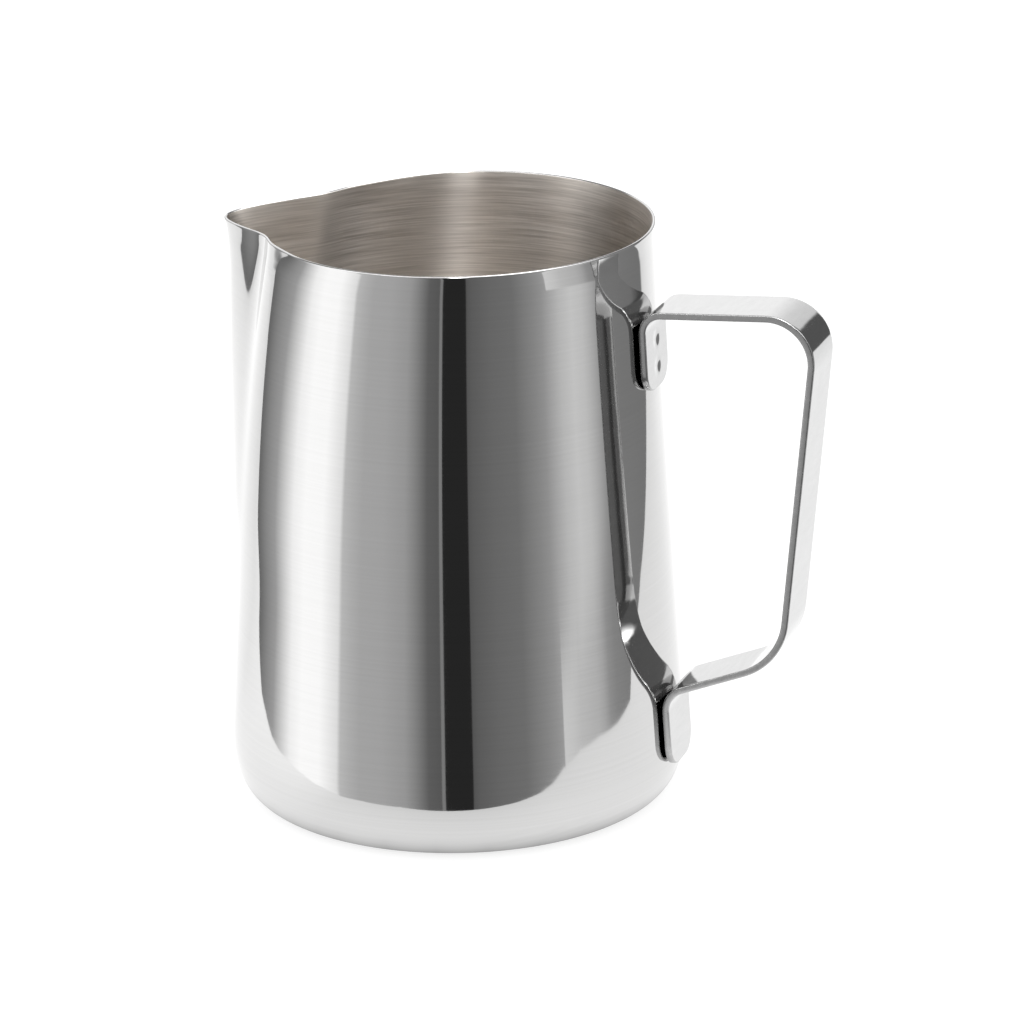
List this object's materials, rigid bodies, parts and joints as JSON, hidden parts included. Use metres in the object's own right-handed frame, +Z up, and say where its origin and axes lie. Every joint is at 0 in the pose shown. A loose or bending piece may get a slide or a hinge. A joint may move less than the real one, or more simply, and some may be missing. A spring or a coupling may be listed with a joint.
{
  "type": "milk frothing pitcher",
  "caption": "Stainless steel frothing pitcher with a bell-shaped drawn body, a pressed pouring spout and a flat strap handle spot-welded to the wall.",
  "frame": {"origin": "on the body's axis, in the plane of the standing ring under the base", "axes": "+Z up along the body's axis, +X from the axis towards the handle, -X towards the spout; the XZ plane is the plane of symmetry"},
  "size_m": [0.1628, 0.1206, 0.155],
  "materials": {
    "polished_stainless": "polished",
    "strap_stainless": "polished",
    "weld_nugget": "matte"
  },
  "bodies": {
    "root": {"pitcher_body": "polished_stainless", "handle_strap": "strap_stainless", "upper_spot_welds": "weld_nugget", "lower_spot_welds": "weld_nugget"}
  },
  "joints": []
}
